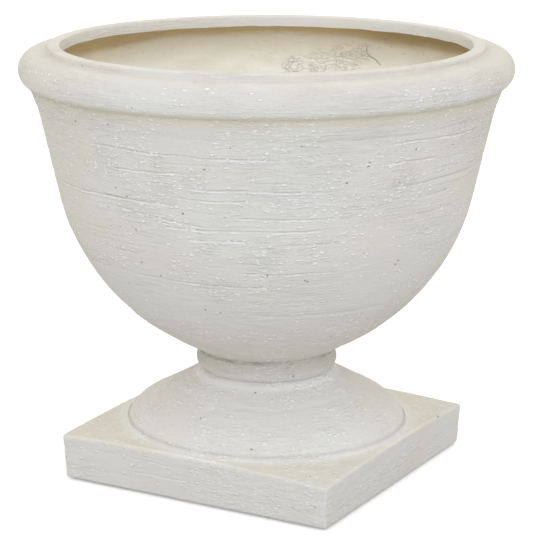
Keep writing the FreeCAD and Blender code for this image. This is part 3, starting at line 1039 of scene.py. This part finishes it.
def makeHexagon(flats, bottom, top, chamfer, bore=0.0):   # corners turned off top and bottom
    reach = flats / math.sqrt(3)
    deselectAll()
    bpy.ops.mesh.primitive_cylinder_add(vertices=6, radius=reach, depth=top - bottom,
                                        location=(0, 0, (bottom + top) / 2))
    block = bpy.context.object
    applyPlace()
    pen = startOutline(bore, bottom)
    face = flats * hexShape["face"]
    reach += hexShape["spare"]
    rise = (reach - face) * math.tan(math.radians(hexShape["slope"]))
    drawRounded(pen, [
        (face, bottom, 0),
        (reach, bottom + (rise if chamfer == 'BOTH' else 0.0), 0),
        (reach, top - rise, 0), (face, top, 0), (bore, top, 0)], 0.001)
    if bore > 0:
        drawTo(pen, bore, bottom)
    cutAway(block, turnOutline(pen, 96, 20), 'INTERSECT')
    applyModifier(block, 'BEVEL', width=hexShape["bevel"], segments=2, limit_method='ANGLE')
    shadeSmooth(block, 28)
    return block


def makeThread(shape, start):   # one turn is drawn and repeated
    root = shape["core"] - 0.0003
    pen = startOutline(root, start)
    drawTo(pen, shape["shank"], start + shape["pitch"] * 0.42)
    drawTo(pen, shape["shank"], start + shape["pitch"] * 0.52)
    drawTo(pen, root, start + shape["pitch"] * 0.94)
    drawTo(pen, root, start)
    thread = pen[0]
    mergePoints()
    objectMode()
    applyModifier(thread, 'SCREW', steps=32, render_steps=32, screw_offset=shape["pitch"],
                  iterations=shape["threadTurns"] - 1)
    editMode()
    bpy.ops.mesh.select_all(action='DESELECT')
    bpy.ops.mesh.select_non_manifold()
    bpy.ops.mesh.fill_holes(sides=8)
    faceOutwards()
    objectMode()
    shadeSmooth(thread, 30)
    return thread


def makeBolt(shape):
    low, high = seat["tie_bolts"]
    headBottom = high.z - shape["headHeight"]
    threadTop = low.z + 0.0008 + shape["threadTurns"] * shape["pitch"]
    pen = startOutline(0.0, low.z)
    drawRounded(pen, [
        (shape["core"], low.z, 0.0005), (shape["core"], threadTop, 0),
        (shape["shank"], threadTop + 0.0008, 0), (shape["shank"], headBottom + 0.0003, 0),
        (0.0, headBottom + 0.0003, 0)], 0.0002)
    shank = turnOutline(pen, 48, 40)
    thread = makeThread(shape, low.z + shape["threadStart"])
    return joinPieces([makeHexagon(shape["headFlats"], headBottom, high.z, 'TOP'), shank, thread])


def makeHardware(shape):
    for name, node, radius, finish, slot, edge in (
            ("washer_upper", "upper_washers", shape["washer"], zincSteel, "zinc_steel", 0.0003),
            ("washer_lower", "lower_washers", shape["washer"], zincSteel, "zinc_steel", 0.0003),
            ("seal_ring", "sealing_washers", shape["seal"], blackRubber, "black_rubber", 0.0005)):
        low, high = seat[node]
        washer = makeWasher(radius, low.z, high.z, shape["bore"], edge)
        setAtBolts(washer, name, finish, node)
    setAtBolts(makeBolt(shape), "bolt_set", zincSteel, "tie_bolts")
    low, high = seat["tie_nuts"]
    nut = makeHexagon(shape["headFlats"], low.z, high.z, 'BOTH', shape["shank"] - 0.0003)
    setAtBolts(nut, "nut_set", zincSteel, "tie_nuts")


makeHardware(boltShape)


# The drain plug and the foot pads, black rubber.

plugShape = {
    "tip": 0.0115, "top": 0.0127, "flange": 0.019, "waist": 0.0045, "grip": 0.0065,
    "gripHeight": 0.0135, "hollow": 0.003, "columns": 120,
}


def makePlug(shape):
    low, high = seat["drain_plug"]
    floor = high.z - shape["gripHeight"]
    tip = shape["tip"]
    top = shape["top"]
    waist = shape["waist"]
    grip = shape["grip"]
    pen = startOutline(0.0, low.z + shape["hollow"])   # hollow underneath, as moulded stoppers are
    drawRounded(pen, [
        (tip - 0.004, low.z + shape["hollow"], 0.002),
        (tip - 0.003, low.z, 0.0008),
        (tip, low.z, 0.001),
        (tip + 0.0005, floor - 0.0115, 0.0004),
        (top - 0.001, floor - 0.011, 0.0004),   # two sealing lips
        (top - 0.0002, floor - 0.006, 0.0004),
        (top - 0.0007, floor - 0.0054, 0.0004),
        (top, floor - 0.001, 0.0003),
        (top, floor, 0.0004),
        (shape["flange"], floor, 0.0006),
        (shape["flange"], floor + 0.0032, 0.0012),
        (grip + 0.003, floor + 0.0035, 0.0012),
        (waist, floor + 0.0036, 0.0014),
        (waist, floor + 0.0085, 0.0012),
        (grip, floor + 0.0092, 0.001),
        (grip, high.z, 0.0014),
        (grip - 0.003, high.z, 0.0008),   # a dimple in the grip
        (grip - 0.0036, high.z - 0.0008, 0.0006),
        (0.0, high.z - 0.0008, 0)], 0.00035)
    divideOutline(pen, 0.0012)
    return turnOutline(pen, shape["columns"], 40)


finishPiece(makePlug(plugShape), "plug_stopper", blackRubber, "plug", "drain_plug")

padShape = {"radius": 0.01, "edge": 0.0005, "groove": 0.006, "grooveDepth": 0.0004, "columns": 72}


def makePads(shape):
    for node in [name for name in seat if name.startswith("foot_pad")]:
        low, high = seat[node]
        raised = low.z + shape["grooveDepth"]
        pen = startOutline(0.0, raised)
        drawRounded(pen, [
            (shape["groove"] - 0.001, raised, 0.0003),
            (shape["groove"], low.z, 0.0003),
            (shape["radius"], low.z, shape["edge"]),
            (shape["radius"], high.z, shape["edge"]),
            (0.0, high.z, 0)], 0.0002)
        divideOutline(pen, 0.0012)
        pad = turnOutline(pen, shape["columns"], 40)
        middle = (low + high) / 2
        bpy.ops.transform.translate(value=(middle.x, middle.y, 0))
        name = node.replace("foot_pad", "rubber_pad")
        finishPiece(pad, name, blackRubber, "urn", node)


makePads(padShape)
print("hardware, plug and pads made")


# Stage, lights and camera.

stageLook = {
    "floorSize": 24.0, "floorTone": 0.62, "floorGlow": 0.24, "floorSeen": 0.92,
    "sky": 1.03, "skyTint": (1.0, 0.968, 0.912, 1),
    "sunStrength": 0.78, "sunTint": (0.76, 0.91, 1.22), "sunAngle": 50, "sunFrom": (0.5, -0.87, 0.42),
    "cameraAt": (1.05, -1.839, 0.7418), "cameraTilt": 75.939, "cameraTurn": 29.63,
    "lens": 138.25, "sensor": 36,
}


def makeStage(look):
    deselectAll()
    bpy.ops.mesh.primitive_plane_add(size=look["floorSize"], location=(0, 0, 0))
    floor = bpy.context.object
    floor.name = "floor"
    material = bpy.data.materials.new("paleFloor")
    material.use_nodes = True
    tree = material.node_tree
    tree.nodes.clear()
    path = tree.nodes.new("ShaderNodeLightPath").outputs
    matt = addNode("ShaderNodeBsdfDiffuse", {"Color": (*[look["floorTone"]] * 3, 1)}, tree)
    white = addNode("ShaderNodeBsdfDiffuse", {"Color": (*[look["floorSeen"]] * 3, 1)}, tree)
    glow = addNode("ShaderNodeEmission", {"Strength": look["floorGlow"]}, tree)
    seen = addNode("ShaderNodeAddShader", {0: glow.outputs[0], 1: white.outputs[0]})
    mix = addNode("ShaderNodeMixShader", {0: path["Is Camera Ray"], 1: matt.outputs[0],
                                          2: seen.outputs[0]})
    addNode("ShaderNodeOutputMaterial", {"Surface": mix.outputs[0]})
    floor.data.materials.append(material)


def makeWorld(look):   # white where it is seen, a warm sky where it lights
    world = bpy.data.worlds.new("softWorld")
    bpy.context.scene.world = world
    world.use_nodes = True
    tree = world.node_tree
    tree.nodes.clear()
    path = tree.nodes.new("ShaderNodeLightPath").outputs
    sky = addNode("ShaderNodeBackground", {"Color": look["skyTint"], "Strength": look["sky"]}, tree)
    backdrop = addNode("ShaderNodeBackground", {"Color": (1, 1, 1, 1), "Strength": 1.0}, tree)
    seen = larger(path["Is Camera Ray"], larger(path["Is Glossy Ray"], path["Is Transmission Ray"]))
    mix = addNode("ShaderNodeMixShader", {0: seen, 1: sky.outputs[0], 2: backdrop.outputs[0]})
    addNode("ShaderNodeOutputWorld", {"Surface": mix.outputs[0]})


def makeSun(look):
    deselectAll()
    bpy.ops.object.light_add(type='SUN', location=look["sunFrom"])
    sun = bpy.context.object
    sun.name = "softSun"
    sun.data.energy = look["sunStrength"]
    sun.data.color = look["sunTint"]
    sun.data.angle = math.radians(look["sunAngle"])
    sun.rotation_euler = (-Vector(look["sunFrom"])).to_track_quat('-Z', 'Y').to_euler()


def makeCamera(look):
    deselectAll()
    turn = (math.radians(look["cameraTilt"]), 0, math.radians(look["cameraTurn"]))
    bpy.ops.object.camera_add(location=look["cameraAt"], rotation=turn)
    camera = bpy.context.object
    camera.data.lens = look["lens"]
    camera.data.sensor_width = look["sensor"]
    bpy.context.scene.camera = camera


makeStage(stageLook)
makeWorld(stageLook)
makeSun(stageLook)
makeCamera(stageLook)
bpy.context.scene.view_settings.view_transform = 'Standard'
print("stage, lights and camera ready")
